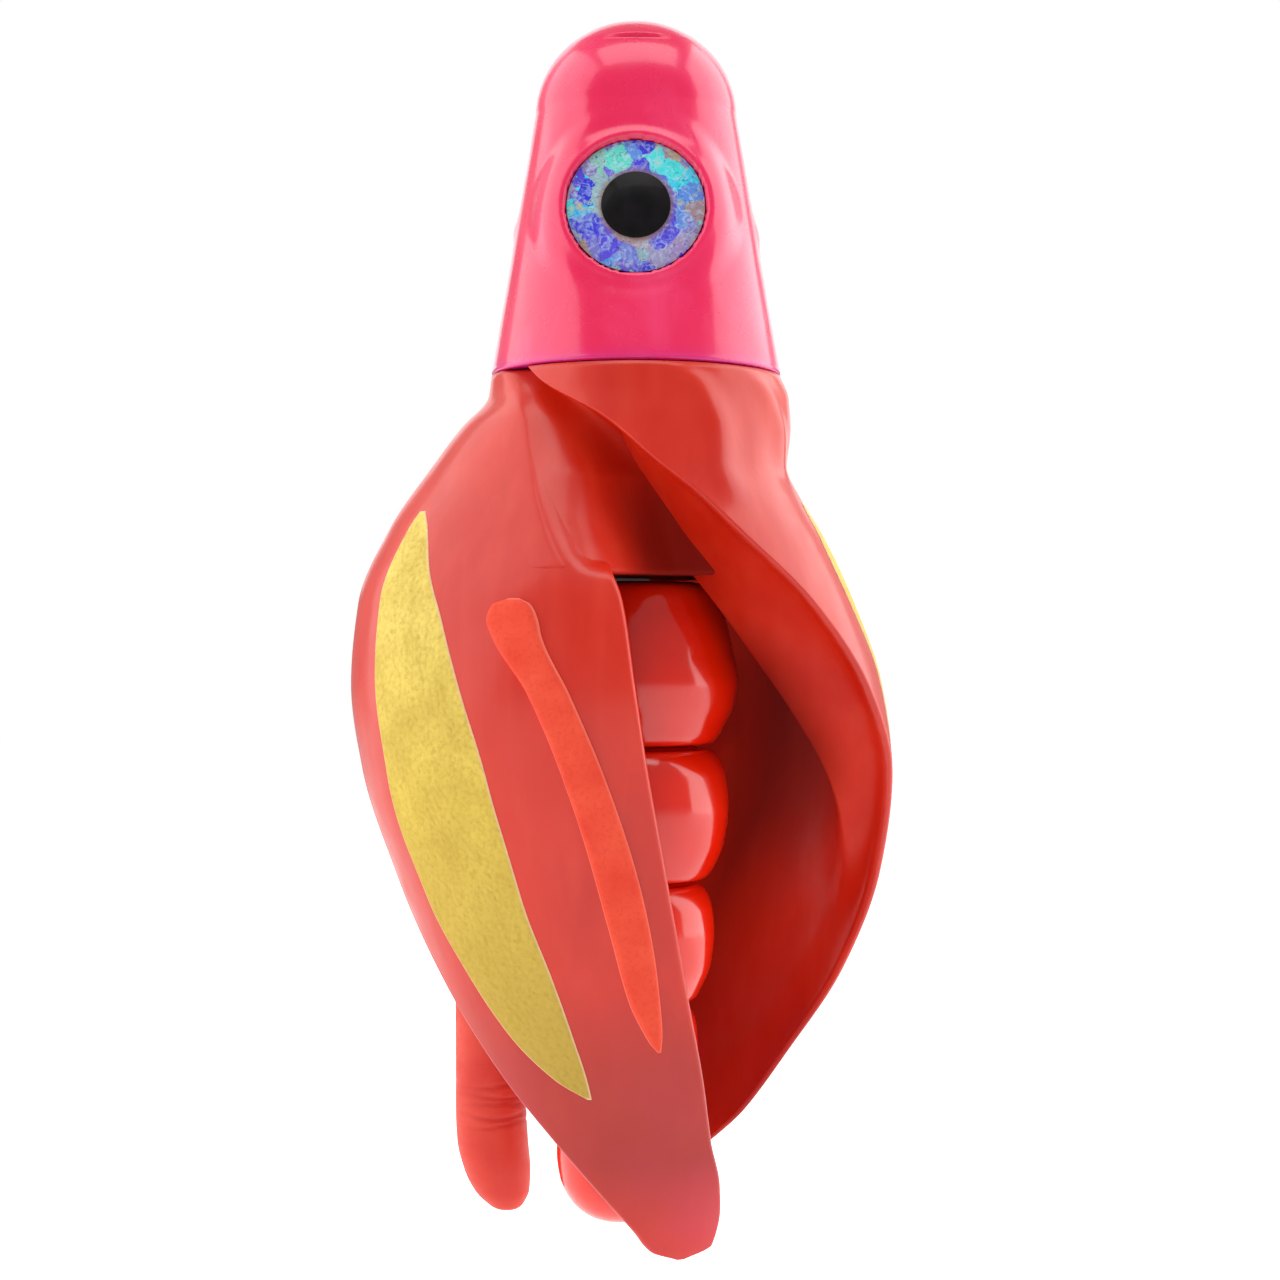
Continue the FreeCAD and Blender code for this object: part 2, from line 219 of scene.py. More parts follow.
def sheet_faces(rows, count):
    """Faces of a closed sheet of rows that run there and back, with both its ends capped."""
    columns = 2 * count
    faces = ring_faces(rows, columns)
    last = (rows - 1) * columns
    for near in range(count - 1):
        far = columns - 1 - near
        faces.append((near, near + 1, far - 1, far))
        faces.append((last + near + 1, last + near, last + far, last + far - 1))
    return faces


def face_outwards(piece):
    """Merges doubled points and turns every face outwards."""
    work = bmesh.new()
    work.from_mesh(piece.data)
    bmesh.ops.remove_doubles(work, verts=work.verts, dist=2e-6)
    bmesh.ops.dissolve_degenerate(work, edges=work.edges, dist=1e-7)
    bmesh.ops.recalc_face_normals(work, faces=work.faces)
    work.to_mesh(piece.data)
    work.free()


def make_mesh(name, points, faces, body, slot, replaces, marks=None):
    """A smooth-shaded piece from points in millimetres. marks holds named numbers, one per point."""
    mesh = bpy.data.meshes.new(name)
    mesh.from_pydata([tuple(p) for p in np.reshape(points, (-1, 3)) * MM], [], faces)
    for mark, values in (marks or {}).items():
        layer = mesh.attributes.new(mark, "FLOAT", "POINT")
        layer.data.foreach_set("value", np.asarray(values, np.float32).reshape(-1))
    mesh.validate()
    mesh.polygons.foreach_set("use_smooth", [True] * len(mesh.polygons))
    mesh.materials.append(MATERIALS[slot])
    piece = bpy.data.objects.new(name, mesh)
    bpy.context.scene.collection.objects.link(piece)
    face_outwards(piece)
    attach(piece, body)
    if replaces:
        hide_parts(*replaces)


def outline_curve(points, count):
    """count points along a soft curve through an outline of (radius, z) points."""
    outline = np.array(points, float)
    lengths = np.concatenate([[0], np.cumsum(np.hypot(*np.diff(outline, axis=0).T))])
    at = np.linspace(0, lengths[-1], count)
    radius = smooth(list(zip(lengths, outline[:, 0])), at, 1)
    height = smooth(list(zip(lengths, outline[:, 1])), at, 1)
    return radius, height


def lathe(radius, height, around, x=0.0):
    """Points and faces of a body of revolution whose outline starts and ends on its axis, at x."""
    turn = np.arange(around) * TAU / around
    px = x + np.outer(radius, np.cos(turn))
    py = np.outer(radius, np.sin(turn))
    pz = np.repeat(np.asarray(height)[:, None], around, 1)
    points = np.stack([px, py, pz], -1).reshape(-1, 3)
    return points, ring_faces(len(radius), around)


# ---------------------------------------------------------------- materials


class Shader:
    """A short way to write a node tree round one Principled shader."""

    def __init__(self, name, **values):
        self.material = bpy.data.materials.new(name)
        self.material.use_nodes = True
        self.tree = self.material.node_tree
        self.main = self.tree.nodes["Principled BSDF"]
        for key, value in values.items():
            self.main.inputs[key.replace("_", " ")].default_value = value
        self.place = self.add("ShaderNodeTexCoord").outputs["Object"]

    def add(self, kind, **settings):
        node = self.tree.nodes.new(kind)
        for key, value in settings.items():
            setattr(node, key, value)
        return node

    def join(self, source, target):
        self.tree.links.new(source, target)

    def noise(self, scale, detail=3.0, stretch=(1, 1, 1), roughness=0.5, distortion=0.0):
        """Noise with features of about 1/scale metres, stretched along an axis by a small factor."""
        mapping = self.add("ShaderNodeMapping")
        mapping.inputs["Scale"].default_value = stretch
        self.join(self.place, mapping.inputs["Vector"])
        node = self.add("ShaderNodeTexNoise")
        node.inputs["Scale"].default_value = scale
        node.inputs["Detail"].default_value = detail
        node.inputs["Roughness"].default_value = roughness
        node.inputs["Distortion"].default_value = distortion
        self.join(mapping.outputs["Vector"], node.inputs["Vector"])
        return node.outputs["Fac"]

    def ramp(self, source, *stops):
        """Colours or greys along source: stops are (place, colour)."""
        node = self.add("ShaderNodeValToRGB")
        band = node.color_ramp
        while len(band.elements) < len(stops):
            band.elements.new(0.5)
        for element, (place, colour) in zip(band.elements, stops):
            element.position = place
            shade = (colour,) * 3 if isinstance(colour, float) else colour
            element.color = (*shade, 1)
        self.join(source, node.inputs["Fac"])
        return node.outputs["Color"]

    def mix(self, factor, low, high):
        node = self.add("ShaderNodeMix", data_type="RGBA")
        for socket, value in zip((node.inputs[0], node.inputs[6], node.inputs[7]), (factor, low, high)):
            if isinstance(value, bpy.types.NodeSocket):
                self.join(value, socket)
            elif isinstance(value, tuple):
                socket.default_value = (*value, 1)
            else:
                socket.default_value = value
        return node.outputs[2]

    def product(self, one, other):
        node = self.add("ShaderNodeMath", operation="MULTIPLY")
        self.join(one, node.inputs[0])
        self.join(other, node.inputs[1])
        return node.outputs[0]

    def mark(self, name):
        return self.add("ShaderNodeAttribute", attribute_name=name).outputs["Fac"]

    def height(self, low, high):
        """0 at height low and 1 at height high, in millimetres."""
        split = self.add("ShaderNodeSeparateXYZ")
        self.join(self.place, split.inputs[0])
        node = self.add("ShaderNodeMapRange")
        node.inputs["From Min"].default_value = low * MM
        node.inputs["From Max"].default_value = high * MM
        self.join(split.outputs["Z"], node.inputs["Value"])
        return node.outputs[0]

    def bump(self, *layers):
        """Bumps from (source, depth in millimetres) layers."""
        normal = None
        for source, depth in layers:
            node = self.add("ShaderNodeBump")
            node.inputs["Strength"].default_value = 1.0
            node.inputs["Distance"].default_value = depth * MM
            self.join(source, node.inputs["Height"])
            if normal is not None:
                self.join(normal, node.inputs["Normal"])
            normal = node.outputs["Normal"]
        self.join(normal, self.main.inputs["Normal"])

    def colour(self, source):
        self.join(source, self.main.inputs["Base Color"])

    def rough(self, source):
        self.join(source, self.main.inputs["Roughness"])


def linear(red, green, blue):
    """A linear colour from 0 to 255 display values."""
    shares = [value / 255 for value in (red, green, blue)]
    return tuple(share / 12.92 if share <= 0.04 else ((share + 0.055) / 1.055) ** 2.4 for share in shares)


def wing_red():
    """Glossy red with soft streaks; painted shade where the mark deep rises, darker and duller, and in a
    band low on the wings; a painted pinkish reflection near the tips.
    """
    look = Shader("wing_red", Roughness=0.36, Coat_Roughness=0.14, Coat_IOR=1.45,
                  Subsurface_Weight=0.06, Subsurface_Scale=0.002)
    look.main.inputs["Subsurface Radius"].default_value = (1.0, 0.25, 0.12)
    cloud = look.noise(90, 4, (1, 1, 0.5))
    body = look.ramp(cloud, (0.3, linear(200, 32, 12)), (0.7, linear(216, 44, 19)))
    streak = look.noise(420, 3, (1, 1, 0.12))
    body = look.mix(look.ramp(streak, (0.45, 0.0), (0.8, 0.3)), body, linear(226, 68, 44))
    # Painted shade: a darker band low on the wings, where they curve under.
    lower_painted_shade = look.ramp(look.height(-85, -58), (0.08, 0.0), (0.35, 0.6), (0.7, 0.45), (1.0, 0.0))
    body = look.mix(lower_painted_shade, body, linear(140, 18, 12))
    # Painted reflection: pinkish clouds near the tips.
    clouds = look.ramp(look.noise(75, 3), (0.45, 0.0), (0.7, 0.4))
    tip_painted_reflection = look.product(clouds, look.height(-58, -84))
    body = look.mix(tip_painted_reflection, body, linear(206, 48, 84))
    # The mark deep paints shade: inner faces and recesses turn dark red, darkest low down, with less coat
    # and specular.
    depth = look.mark("deep")
    deep = look.ramp(depth, (0.16, 0.0), (0.6, 0.42), (1.0, 0.92))
    dark = look.mix(look.height(-70, -15), linear(64, 1, 1), linear(100, 8, 5))
    look.colour(look.mix(deep, body, dark))
    look.rough(look.mix(deep, look.ramp(look.noise(260, 4), (0.3, 0.28), (0.75, 0.44)), (0.7, 0.7, 0.7)))
    look.join(look.ramp(depth, (0.0, 0.3), (0.1, 0.0)), look.main.inputs["Coat Weight"])
    shine = look.ramp(depth, (0.0, 0.42), (0.12, 0.18), (0.6, 0.08))
    look.join(shine, look.main.inputs["Specular IOR Level"])
    look.bump((look.noise(150, 2, (1, 1, 0.4)), 0.22), (look.noise(1500, 3), 0.012), (streak, 0.02))
    return look.material


def core_red():
    """Dull dark red of the neck core and the hip bracket: a painted shade, darker than the wings so the
    recess in front of the core looks deep in shade.
    """
    look = Shader("core_red", Roughness=0.45, Coat_Weight=0.1)
    look.colour(look.ramp(look.noise(160, 4), (0.3, linear(84, 7, 5)), (0.75, linear(120, 16, 10))))
    look.rough(look.ramp(look.noise(500, 3), (0.3, 0.38), (0.7, 0.55)))
    look.bump((look.noise(900, 3), 0.03))
    return look.material


def head_pink():
    """Glossy pink with a faint haze, and a purple line at the rim."""
    look = Shader("head_pink", Roughness=0.26, Coat_Weight=0.5, Coat_Roughness=0.1, Coat_IOR=1.5,
                  Subsurface_Weight=0.15, Subsurface_Scale=0.002)
    look.main.inputs["Subsurface Radius"].default_value = (1.0, 0.2, 0.35)
    body = look.ramp(look.noise(70, 4, (1, 1, 0.4)), (0.3, linear(232, 20, 78)), (0.7, linear(240, 34, 96)))
    haze = look.noise(240, 4, (1, 1, 0.35), distortion=0.6)
    body = look.mix(look.ramp(haze, (0.5, 0.0), (0.82, 0.4)), body, linear(250, 84, 136))
    look.colour(look.mix(look.mark("rim"), body, linear(205, 30, 150)))
    look.rough(look.ramp(look.noise(200, 4), (0.3, 0.2), (0.75, 0.36)))
    look.bump((look.noise(120, 2, (1, 1, 0.5), distortion=0.4), 0.3), (look.noise(1800, 2), 0.008))
    return look.material


def bead_orange():
    """Wet-looking orange of the tail beads."""
    look = Shader("bead_orange", Roughness=0.2, Coat_Weight=0.6, Coat_Roughness=0.06, Coat_IOR=1.5,
                  Subsurface_Weight=0.2, Subsurface_Scale=0.002)
    look.main.inputs["Subsurface Radius"].default_value = (1.0, 0.3, 0.1)
    look.colour(look.ramp(look.noise(110, 3), (0.3, linear(228, 22, 1)), (0.7, linear(238, 36, 4))))
    look.rough(look.ramp(look.noise(320, 3), (0.3, 0.12), (0.75, 0.24)))
    look.bump((look.noise(130, 2), 0.2), (look.noise(1400, 2), 0.006))
    return look.material


def leg_red():
    """Matt rubber red with fine folds, and painted shade in its creases."""
    look = Shader("leg_red", Roughness=0.5, Specular_IOR_Level=0.4,
                  Subsurface_Weight=0.25, Subsurface_Scale=0.0025)
    look.main.inputs["Subsurface Radius"].default_value = (1.0, 0.3, 0.15)
    body = look.ramp(look.noise(180, 4), (0.3, linear(212, 50, 34)), (0.75, linear(228, 74, 54)))
    # Painted shade: darker red where the crease mark rises.
    look.colour(look.mix(look.mark("crease"), body, linear(196, 36, 26)))
    look.rough(look.ramp(look.noise(700, 3), (0.3, 0.42), (0.75, 0.6)))
    folds = look.noise(900, 4, (0.35, 0.35, 1.6), distortion=0.5)
    look.bump((look.noise(2600, 3), 0.02), (folds, 0.045))
    return look.material


def yellow_foam():
    """Pebbled yellow foam, darker towards its foot as a painted shade, with a painted highlight along its
    edge.
    """
    look = Shader("yellow_foam", Roughness=0.85, Specular_IOR_Level=0.25)
    # Painted shade: darker towards the foot, lighter at the top.
    foot_painted_shade = look.ramp(look.height(-69, -14), (0.0, linear(188, 156, 72)), (0.5, linear(222, 192, 84)),
                       (1.0, linear(242, 218, 118)))
    blotch = look.noise(260, 5)
    body = look.mix(look.ramp(blotch, (0.35, 0.0), (0.75, 0.55)), foot_painted_shade, linear(190, 158, 62))
    grain = look.noise(2100, 3, roughness=0.65)
    body = look.mix(look.ramp(grain, (0.3, 0.5), (0.55, 0.0)), body, linear(184, 150, 58))
    # Painted highlight: a light band along the pad's raised edge.
    edge = look.ramp(look.mark("edge"), (0.55, 0.0), (0.9, 0.85))
    look.colour(look.mix(edge, body, linear(250, 214, 170)))
    pebbles = look.add("ShaderNodeTexVoronoi", feature="SMOOTH_F1")
    pebbles.inputs["Scale"].default_value = 1900
    look.join(look.place, pebbles.inputs["Vector"])
    look.bump((look.noise(420, 3), 0.1), (pebbles.outputs["Distance"], -0.16), (grain, 0.08))
    return look.material


def strip_red():
    """Fine red foam with a painted highlight along its edge."""
    look = Shader("strip_red", Roughness=0.7, Specular_IOR_Level=0.3)
    body = look.ramp(look.noise(300, 5), (0.3, linear(232, 66, 42)), (0.7, linear(242, 84, 56)))
    grain = look.noise(2600, 3, roughness=0.7)
    body = look.mix(look.ramp(grain, (0.32, 0.35), (0.5, 0.0)), body, linear(216, 44, 32))
    # Painted highlight: a light band along the strip's raised edge.
    edge = look.ramp(look.mark("edge"), (0.6, 0.0), (0.95, 0.7))
    look.colour(look.mix(edge, body, linear(252, 140, 118)))
    look.bump((look.noise(500, 3), 0.06), (grain, 0.05))
    return look.material


def opal_iris():
    """Opal flakes: each cell has its own hue, broken up by a shimmer and dark sparks."""
    look = Shader("opal_iris", Roughness=0.24, Specular_IOR_Level=0.4, Coat_Weight=0.5, Coat_Roughness=0.05)
    warp = look.add("ShaderNodeTexNoise")
    warp.inputs["Scale"].default_value = 620
    warp.inputs["Detail"].default_value = 3
    look.join(look.place, warp.inputs["Vector"])
    bend = look.add("ShaderNodeMix", data_type="VECTOR")
    bend.inputs[0].default_value = 0.0022
    look.join(look.place, bend.inputs[4])
    look.join(warp.outputs["Color"], bend.inputs[5])
    flakes = look.add("ShaderNodeTexVoronoi", feature="F1")
    flakes.inputs["Scale"].default_value = 560
    look.join(bend.outputs[1], flakes.inputs["Vector"])
    pick = look.add("ShaderNodeSeparateColor")
    look.join(flakes.outputs["Color"], pick.inputs[0])
    hues = look.ramp(
        pick.outputs[0],
        (0.0, linear(38, 40, 214)), (0.14, linear(92, 78, 222)), (0.28, linear(128, 116, 206)),
        (0.42, linear(70, 150, 232)), (0.55, linear(40, 222, 236)), (0.66, linear(112, 214, 172)),
        (0.78, linear(160, 142, 196)), (0.9, linear(168, 140, 128)), (1.0, linear(84, 110, 226)))
    shimmer = look.noise(1300, 4, distortion=1.5)
    pearl = look.mix(look.ramp(shimmer, (0.46, 0.0), (0.7, 0.7)), hues, linear(186, 214, 232))
    sparks = look.noise(1900, 2, distortion=2.5)
    pearl = look.mix(look.ramp(sparks, (0.3, 0.75), (0.42, 0.0)), pearl, linear(52, 44, 130))
    pearl = look.mix(look.ramp(look.noise(900, 2), (0.62, 0.0), (0.74, 0.55)), pearl, linear(206, 204, 120))
    look.colour(look.mix(look.ramp(look.mark("ring"), (0.5, 0.75), (0.6, 0.0)), pearl, linear(150, 112, 96)))
    look.bump((flakes.outputs["Distance"], 0.08), (look.noise(1500, 2, distortion=2.0), 0.04))
    return look.material


def black_pupil():
    """Black with faint grey clouds."""
    look = Shader("black_pupil", Roughness=0.4, Specular_IOR_Level=0.12,
                  Coat_Weight=0.08, Coat_Roughness=0.05)
    look.colour(look.ramp(look.noise(500, 3), (0.35, linear(6, 5, 6)), (0.8, linear(24, 20, 24))))
    look.bump((look.noise(240, 2), 0.03))
    return look.material


def steel():
    """Brushed steel of the pins and the screw."""
    look = Shader("steel", Metallic=1.0, Roughness=0.3)
    brushed = look.noise(900, 3, (1, 1, 0.1))
    look.colour(look.ramp(brushed, (0.3, (0.45, 0.46, 0.48)), (0.7, (0.66, 0.67, 0.7))))
    look.rough(look.ramp(look.noise(1200, 3, (1, 1, 0.1)), (0.3, 0.24), (0.7, 0.42)))
    look.bump((look.noise(2500, 2, (1, 1, 0.05)), 0.01))
    return look.material


def pale_floor():
    """Pale floor that the camera sees as white."""
    look = Shader("pale_floor", Roughness=0.9, Specular_IOR_Level=0.1)
    look.main.inputs["Emission Color"].default_value = (1, 1, 1, 1)
    look.colour(look.ramp(look.noise(8, 3), (0.3, (0.93, 0.93, 0.93)), (0.7, (0.95, 0.95, 0.95))))
    seen = look.add("ShaderNodeLightPath").outputs["Is Camera Ray"]
    look.join(look.ramp(seen, (0.0, 0.12), (1.0, 0.8)), look.main.inputs["Emission Strength"])
    return look.material


MATERIALS = {
    "wing_red": wing_red(), "core_red": core_red(), "pink_shell": head_pink(), "bead_orange": bead_orange(),
    "leg_red": leg_red(), "yellow_foam": yellow_foam(), "red_strip": strip_red(), "opal_iris": opal_iris(),
    "black_pupil": black_pupil(), "steel": steel(),
}

# ---------------------------------------------------------------- head

RIM_ROUND = 0.35        # radius of the rim's rounded corner
FACE_FLAT = 1.0         # how much the front and back are flattened
FLAT_BLEND = 0.7        # how softly they are
FLAT_LOW = (-1, 11)     # heights over which the flattening comes in, above the rim
FLAT_TOP = (22, 33)     # and goes out again, below the crown
PIT_R = 6.72            # radius of the pit that holds an eye
PIT_FLOOR = -2.3        # and its floor, under the face
DISH = -1.05            # level round the pit, under the face
SIDE_BUMPS = [(-1, 14.6, 1.3), (1, 14.2, 1.6)]      # side, height and radius of a small bump
BUMP_RISE = 0.28
IRIS_RISE = 0.32        # how far the opal disc is domed
PUPIL_LIFT = 0.36       # the pupil's edge, above the opal disc's
PUPIL_RISE = 0.6
EYES = {"front": np.array([1.0, 1.0, 1.0]), "rear": np.array([-1.0, -1.0, 1.0])}


def eye_frame():
    """The front eye's centre, and the directions across, up and out of the face there."""
    centre = np.array([0, -(RIM_R - EYE_Z * math.tan(TAPER)), EYE_Z])
    across = np.array([1.0, 0, 0])
    up = np.array([0, math.sin(TAPER), math.cos(TAPER)])
    out = np.array([0, -math.cos(TAPER), math.sin(TAPER)])
    return centre, across, up, out


def head_outline():
    """Radius and height from the middle of the base, round the rim and up to the crown."""
    cone_top = HEAD_H - DOME_H
    slope = math.tan(TAPER)
    top_r = RIM_R - cone_top * slope
    flat_r = RIM_R - RIM_ROUND
    base = [(r, 0.0) for r in np.linspace(0, flat_r, 12)]
    corner = [(flat_r + RIM_ROUND * math.sin(a), RIM_ROUND - RIM_ROUND * math.cos(a))
              for a in np.linspace(0.2, 1.5, 6)]
    side = [(RIM_R - h * slope, h) for h in np.linspace(0.5, cone_top, 110)]
    dome = [(top_r * math.cos(a), cone_top + DOME_H * math.sin(a))
            for a in np.linspace(0, math.pi / 2, 44)[1:]]
    outline = np.array(base + corner + side + dome)
    return outline[:, 0], outline[:, 1]


def flatten_faces(points):
    """Flattens the head's front and back softly."""
    flat = FACE_FLAT * ease(points[:, 2], *FLAT_LOW) * (1 - ease(points[:, 2], *FLAT_TOP))
    limit = np.maximum(np.hypot(points[:, 0], points[:, 1]) - flat, 0.1)
    depth = np.abs(points[:, 1])
    cut = -FLAT_BLEND * np.log(np.exp(-depth / FLAT_BLEND) + np.exp(-limit / FLAT_BLEND))
    flattened = (flat > 0.01) & (depth > 4)
    points[:, 1] = np.sign(points[:, 1]) * np.where(flattened, np.minimum(depth, cut), depth)


def sink_eyes(points):
    """Makes a pit with a low lip for each eye, in a shallow dish."""
    centre, across, up, out = eye_frame()
    for turn in EYES.values():
        local = points * turn - centre
        level = local @ out
        from_eye = np.hypot(local @ across, local @ up)
        dish = np.clip(DISH - level, 0, None) * (1 - ease(from_eye, 7.2, 10.6))
        lip = 0.2 * np.exp(-((from_eye - 7.2) / 0.42) ** 2)
        groove = 0.08 * np.exp(-((from_eye - 8.3) / 0.7) ** 2)
        move = np.where(from_eye < PIT_R, PIT_FLOOR - level, dish + lip - groove)
        facing = (level > -6) & (from_eye < 12)
        points += np.outer(np.where(facing, move, 0), out) * turn


def head_skin():
    """The pink cap with its two eye pits."""
    radius, height = head_outline()
    points, faces = lathe(radius, height, 288)
    flatten_faces(points)
    sink_eyes(points)
    for side, z, wide in SIDE_BUMPS:
        gap = np.hypot(points[:, 1], points[:, 2] - z) / wide
        points[:, 0] += side * BUMP_RISE * np.exp(-gap ** 2) * (np.sign(points[:, 0]) == side)
    rim = 0.8 * np.exp(-np.clip(points[:, 2], 0, None) / 0.5)
    make_mesh("head_skin", points, faces, "head", "pink_shell", ("head_shell",), {"rim": rim})


def domed_disc(radius, low, rise, thick):
    """Points and faces of a disc with a domed top that starts at level low."""
    rings = 26
    ring_r = radius * np.sin(np.linspace(0, math.pi / 2, rings))
    top = low + rise * (1 - (ring_r / radius) ** 2)
    outline_r = np.concatenate([ring_r, [radius, 0]])
    outline_z = np.concatenate([top, [low - thick, low - thick]])
    outline_r[rings - 1] = radius - 0.06
    return lathe(outline_r, outline_z, 96)


def eye_pieces(name, turn):
    """The opal disc and the black dome of one eye."""
    centre, across, up, out = eye_frame()
    axes = np.array([across, up, out])
    points, faces = domed_disc(EYE_R, -EYE_SINK, IRIS_RISE, 0.9)
    ring = np.hypot(points[:, 0], points[:, 1]) / EYE_R
    make_mesh(name + "_iris", (centre + points @ axes) * turn, faces, "head", "opal_iris",
              (name + "_eye_iris",), {"ring": ring})
    points, faces = domed_disc(PUPIL_R, -EYE_SINK + PUPIL_LIFT, PUPIL_RISE, 0.5)
    make_mesh(name + "_pupil", (centre + points @ axes) * turn, faces, "head", "black_pupil",
              (name + "_eye_pupil",))


# ---------------------------------------------------------------- wings

WALL = 2.0              # thickness of a wing in its middle
EDGE_WALL = 1.2         # and at its edges
WING_ROWS = 230
WING_ACROSS = 130

# How a wing's leading edge curls in towards the core: z, depth of the curl, how far it turns back in degrees
LIP = [
    (0, 0.8, 0), (-5, 3.2, 6), (-9, 5.0, 9), (-13, 6.4, 12), (-20, 8.0, 13), (-26, 8.0, 9),
    (-33, 6.6, 5), (-41, 4.0, 2), (-50, 1.4, 0), (-58, 0, 0), (-86, 0, 0),
]
LIP_PEAK = 4.0          # distance from the leading edge where the curl is deepest
LIP_END = 28.0          # and where it ends

# Soft folds over the shoulder: z, angle on the right wing, height of the fold
FOLDS = [
    [(-0.2, 14, 0), (-2.0, 22, 0.45), (-6.5, 30, 0.6), (-10.5, 32, 0.5), (-15, 34, 0), (-86, 34, 0)],
    [(-0.2, 46, 0), (-2.5, 56, 0.3), (-6.5, 66, 0.4), (-9.5, 72, 0.3), (-13, 78, 0), (-86, 78, 0)],
]
FOLD_WIDTH = 6.5        # half width of a fold, in degrees

RECESS_TOP = -0.3
RECESS_LOW = -20.0
RECESS_CORE_R = 8.0     # the recess skin's back, inside the core
RECESS_ROUND = 0.4      # radius of its lower corner
RECESS_ROWS = 90
TURN_IN = 3.5           # how far before its trailing edge a wing starts to turn into the recess
TURN_IN_MOST = 10.0     # the longest way over which it turns
RECESS_BEFORE = 34      # degrees before the wing's trailing edge where the recess skin starts
RECESS_UNDER = 14       # degrees that it reaches under the other wing
TUCK = 0.35             # how far the wing's trailing edge tucks in under the recess skin
TUCK_LOW = (18.6, 20.4)         # how far below the neck the tuck starts to fade, and has faded
INNER_SHADE = 0.12      # the least value of the "deep" mark on a wing's inner face


def ellipse(wing, z, angle):
    """Points of a wing's outer face and its outward directions, for angles in degrees."""
    turn = np.radians(angle)
    wide, deep = smooth(wing, z, 1), smooth(wing, z, 2)
    x, y = wide * np.sin(turn), -deep * np.cos(turn)
    nx, ny = np.sin(turn) / wide, -np.cos(turn) / deep
    size = np.hypot(nx, ny)
    zero = np.zeros_like(nx)
    return np.stack([x, y, z + zero], -1), np.stack([nx / size, ny / size, zero], -1)


def recess_gap(wing, z, trail, hidden):
    """Distance round a wing from its trailing edge to the other wing's leading edge."""
    return (hidden - trail) * np.radians(1) * smooth(wing, z, 2)


def recess_sink(z, past, gap):
    """How deep the recess lies below a wing's own face, past its trailing edge, across a gap."""
    reach = np.clip(TURN_IN + 0.8 * gap, TURN_IN, TURN_IN_MOST)
    return (1.6 + 0.4 * np.abs(z)) * ease((past + TURN_IN) / reach, 0, 1)


def wing_wall(to_edge, total, to_tip):
    """A wing's thickness, which thins towards its edges and its tip."""
    wall = EDGE_WALL + (WALL - EDGE_WALL) * ease(to_edge, 0, 6)
    wall = np.minimum(wall, 0.25 + 0.9 * np.sqrt(1.6 * to_tip))
    return np.minimum(wall, 0.2 + total * 0.5)


def fold_height(z, angle):
    """How far the folds stand out, at angles counted as on the right wing."""
    height = 0
    for fold in FOLDS:
        off = (angle - smooth(fold, z, 1)) / FOLD_WIDTH
        height = height + smooth(fold, z, 2) * np.exp(-off ** 2)
    return height


def wing_skin(side, wing, fold_turn, other, other_turn):
    """A wing as a closed sheet: its outer face with folds, and an inner face with a curled-in lip."""
    top, tip = wing[0][0], wing[-1][0]
    z = (top + (tip - top) * (1 - (1 - np.linspace(0, 1, WING_ROWS)) ** 1.5))[:, None]
    across = spread(WING_ACROSS)[None, :]
    across = 0.6 * across + 0.4 * bunched(across)
    lead, trail = smooth(wing, z, 3), smooth(wing, z, 4)
    angle = trail + (lead - trail) * across
    face, out = ellipse(wing, z, angle)
    to_trail = along(face)
    total = to_trail[:, -1:]
    to_lead = total - to_trail
    to_edge = np.minimum(to_trail, to_lead)

    wall = wing_wall(to_edge, total, np.abs(z - tip))
    radius = np.clip(wall * 0.5, 0.1, 1.0)
    rounding = wall / 2 * corner_drop(to_edge / radius)
    gap = np.abs(recess_gap(wing, z, trail, smooth(other, z, 3) + other_turn))
    tucked = recess_sink(z, -to_trail, gap) + TUCK * ease(-to_trail, -TURN_IN, -1.5)
    tucked = tucked * (1 - ease(-z, *TUCK_LOW))
    outer = face - out * (rounding - fold_height(z, angle - fold_turn) + tucked)[..., None]

    curl = ease(to_lead, 0, LIP_PEAK) * (1 - ease(to_lead, LIP_PEAK, LIP_END))
    curl_depth = smooth(LIP, z, 1)
    turn_back = np.abs(angle - lead) + smooth(LIP, z, 2)
    inner_angle = angle - curl * ease(curl_depth, 0.3, 5.0) * np.sign(trail - lead) * turn_back
    inner_face, inner_out = ellipse(wing, z, inner_angle)
    inner = inner_face - inner_out * (wall - rounding + curl * curl_depth + tucked)[..., None]

    # The mark deep paints shade on the inner face: on the curled lip low down, and deepening away from the
    # edges; the outer face gets none.
    lip_painted_shade = 0.8 * ease(to_lead, 1.0, LIP_PEAK) * ease(-z, 19, 30) * ease(curl_depth, 1.5, 6)
    inside = ease(np.minimum(to_lead, to_trail + 8), 3.0, 30.0)
    inner_painted_shade = np.clip(np.maximum(lip_painted_shade, inside), INNER_SHADE, 1)
    deep = there_and_back(np.zeros_like(inner_painted_shade), inner_painted_shade)
    make_mesh(side + "_wing_skin", there_and_back(outer, inner), sheet_faces(WING_ROWS, WING_ACROSS),
              "body", "wing_red", (side + "_wing",), {"deep": deep})


